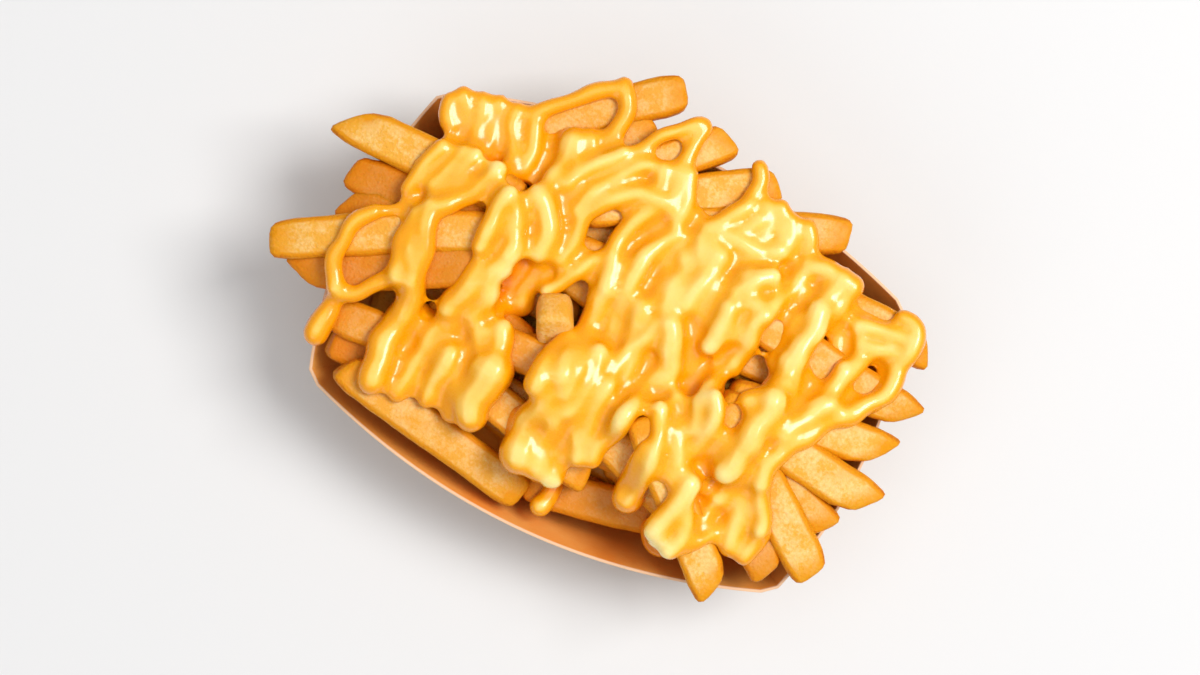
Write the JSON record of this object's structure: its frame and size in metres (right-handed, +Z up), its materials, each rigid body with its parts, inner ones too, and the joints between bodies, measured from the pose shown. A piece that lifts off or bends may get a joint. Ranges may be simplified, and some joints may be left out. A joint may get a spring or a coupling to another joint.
{
  "type": "cheese fries",
  "caption": "Heap of straight-cut potato fries under looping ropes of cheese sauce, in a folded open kraft-paper tray with flared, bowed sides.",
  "frame": {"origin": "centre of the flat underside of the paper tray, on the surface it stands on", "axes": "+X along the tray's long axis, +Y across it, +Z up out of the tray"},
  "size_m": [0.1759, 0.1263, 0.0629],
  "materials": {
    "kraft_paper": "matt uncoated brown paperboard",
    "fries": "golden fried potato under glossy yellow cheese sauce"
  },
  "bodies": {
    "root": {"paper_tray": "kraft_paper", "fries": "fries"}
  },
  "joints": []
}
